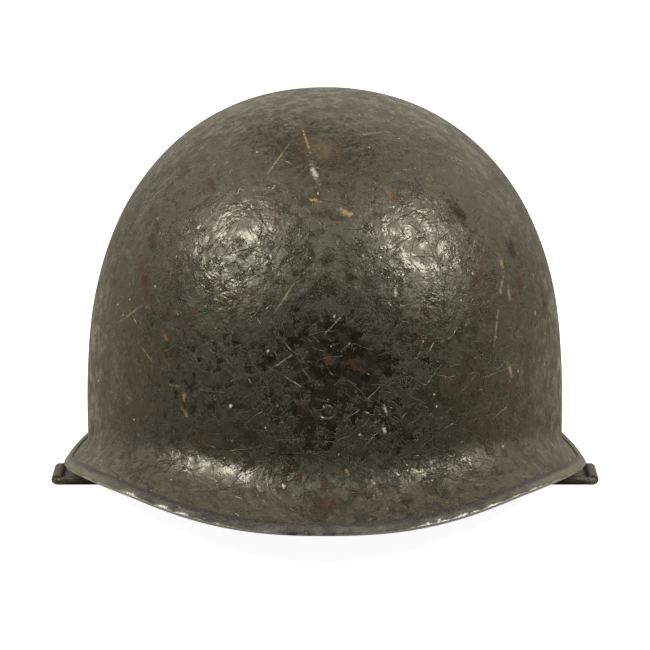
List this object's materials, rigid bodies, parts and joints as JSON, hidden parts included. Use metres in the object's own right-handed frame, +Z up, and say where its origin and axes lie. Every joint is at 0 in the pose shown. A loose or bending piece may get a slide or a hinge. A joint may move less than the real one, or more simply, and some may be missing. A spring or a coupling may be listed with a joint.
{
  "type": "steel combat helmet",
  "caption": "Mid-20th-century steel combat helmet with a flared visor, swivelling strap loops, chin strap and a removable liner with webbing cradle and leather sweatband.",
  "frame": {"origin": "on the ground below the middle of the helmet's box, with the helmet standing on its rear rim and its strap loops", "axes": "-Y is the front with the visor, +Z is up, +X is the wearer's left"},
  "size_m": [0.255, 0.28, 0.1818],
  "materials": {
    "painted_steel": "worn matt olive drab paint over sheet steel",
    "edging_steel": "paint worn through to bare bright steel",
    "hinge_steel": "painted, spot-welded steel strip",
    "loop_wire": "worn paint over steel wire",
    "strap_webbing": "woven cotton webbing, olive",
    "blackened_brass": "blackened brass",
    "liner_laminate": "painted resin-laminated cotton duck",
    "cradle_webbing": "woven cotton webbing, khaki",
    "cotton_lace": "braided cotton lace",
    "blackened_steel": "blackened steel",
    "sweatband_leather": "russet leather"
  },
  "bodies": {
    "shell": {"steel_shell": "painted_steel", "rim_band": "edging_steel", "left_hinge_plate": "hinge_steel", "right_hinge_plate": "hinge_steel", "left_strap": "strap_webbing", "right_strap": "strap_webbing"},
    "left_loop": {"left_bail": "loop_wire", "left_strap_loop": "strap_webbing"},
    "right_loop": {"right_bail": "loop_wire", "right_strap_loop": "strap_webbing"},
    "liner": {"liner_shell": "liner_laminate", "front_eyelet": "blackened_brass", "suspension_band": "cradle_webbing", "crown_strap_1": "cradle_webbing", "crown_strap_2": "cradle_webbing", "crown_strap_3": "cradle_webbing", "crown_lace": "cotton_lace", "suspension_washers": "blackened_steel", "liner_rivets": "blackened_steel", "headband": "cradle_webbing", "sweatband": "sweatband_leather", "headband_clips": "blackened_steel", "headband_buckle": "blackened_steel", "nape_strap": "cradle_webbing", "nape_rivets": "blackened_steel", "left_chinstrap_stud": "blackened_brass", "right_chinstrap_stud": "blackened_brass", "strap_tip": "blackened_brass"},
    "buckle": {"strap_buckle": "blackened_brass"},
    "end_loop": {"strap_end_loop": "blackened_brass"}
  },
  "joints": [
    {"name": "left_loop_hinge", "type": "hinge", "parent": "shell", "child": "left_loop", "pos_m": [0.10916, -0.003, 0.0046], "axis": [0, 1, 0], "range_deg": [0, 150], "deforming": ["left_strap"]},
    {"name": "right_loop_hinge", "type": "hinge", "parent": "shell", "child": "right_loop", "pos_m": [-0.10916, -0.003, 0.0046], "axis": [0, -1, 0], "range_deg": [0, 150], "deforming": ["right_strap"]},
    {"name": "liner_slide", "type": "slide", "parent": "shell", "child": "liner", "axis": [0, 0, -1], "range_m": [0, 0.19]},
    {"name": "strap_buckle_slide", "type": "slide", "parent": "liner", "child": "buckle", "axis": [1, 0, 0], "range_m": [-0.028, 0.014]},
    {"name": "end_loop_hinge", "type": "hinge", "parent": "liner", "child": "end_loop", "pos_m": [-0.072, -0.003, 0.00195], "axis": [0, -1, 0], "range_deg": [0, 165]}
  ]
}
